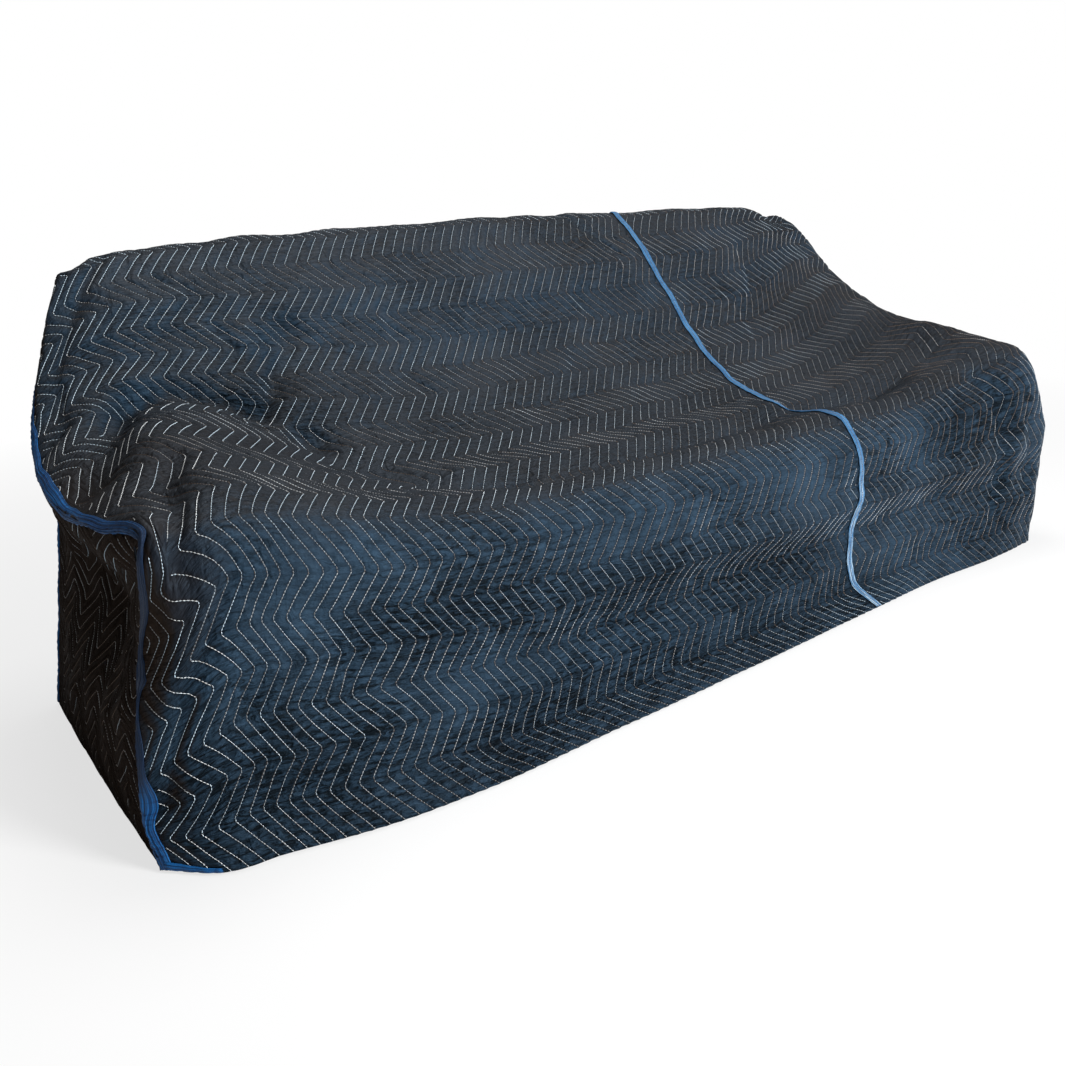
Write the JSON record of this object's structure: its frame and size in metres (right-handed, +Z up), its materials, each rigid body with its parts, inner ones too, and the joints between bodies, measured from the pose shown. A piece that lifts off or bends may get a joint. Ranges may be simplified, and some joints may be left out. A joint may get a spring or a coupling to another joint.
{
  "type": "furniture moving cover",
  "caption": "Fitted quilted moving cover for a sofa, hollow and open below, draped over arms, seat and back, with binding tape on its seams.",
  "frame": {"origin": "on the floor, under the middle of the cover's bounding box", "axes": "+X along the sofa, to the right as seen from its front; -Y is the sofa's front; +Z is up"},
  "size_m": [2.3716, 0.9906, 0.8859],
  "materials": {
    "quilted_cloth": "matt, close-woven dark polyester with a faint blue sheen, zigzag quilted",
    "binding_tape": "satin blue woven tape"
  },
  "bodies": {
    "root": {"long_panel_left": "quilted_cloth", "long_panel_right": "quilted_cloth", "end_panel_left": "quilted_cloth", "end_panel_right": "quilted_cloth", "binding_left": "binding_tape", "binding_middle": "binding_tape", "binding_right": "binding_tape"}
  },
  "joints": []
}
